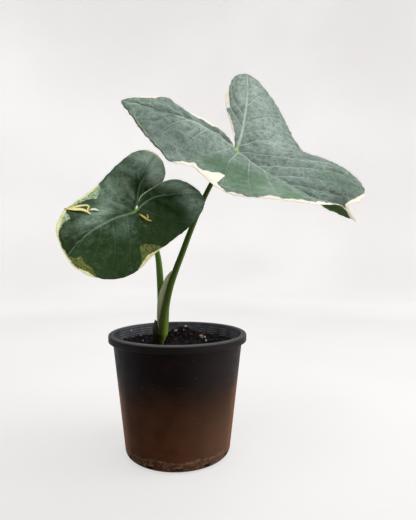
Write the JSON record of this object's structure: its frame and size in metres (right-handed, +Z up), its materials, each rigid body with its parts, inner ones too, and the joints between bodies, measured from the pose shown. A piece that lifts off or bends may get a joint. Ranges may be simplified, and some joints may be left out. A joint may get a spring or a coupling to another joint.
{
  "type": "potted xanthosoma",
  "caption": "Young variegated aroid with broad arrow-shaped leaves on upright stalks, growing in soil in a round tapered plastic nursery pot that stands on its flat base.",
  "frame": {"origin": "middle of the pot's flat underside", "axes": "+Z up; -Y is the front, from which the picture looks; +X to the right"},
  "size_m": [0.2715, 0.1589, 0.3923],
  "materials": {
    "pot_plastic": "satin black-brown plastic",
    "potting_soil": "damp crumbly potting mix",
    "petiole_green": "smooth satin stalk",
    "dry_sheath": "dry papery skin",
    "large_leaf_blade": "soft sheen, veined, cream patches",
    "small_leaf_blade": "soft sheen, veined, cream margins"
  },
  "bodies": {
    "root": {"pot": "pot_plastic", "soil": "potting_soil", "petiole_large": "petiole_green", "petiole_small": "petiole_green", "old_sheath": "dry_sheath", "leaf_large": "large_leaf_blade", "leaf_small": "small_leaf_blade"}
  },
  "joints": []
}
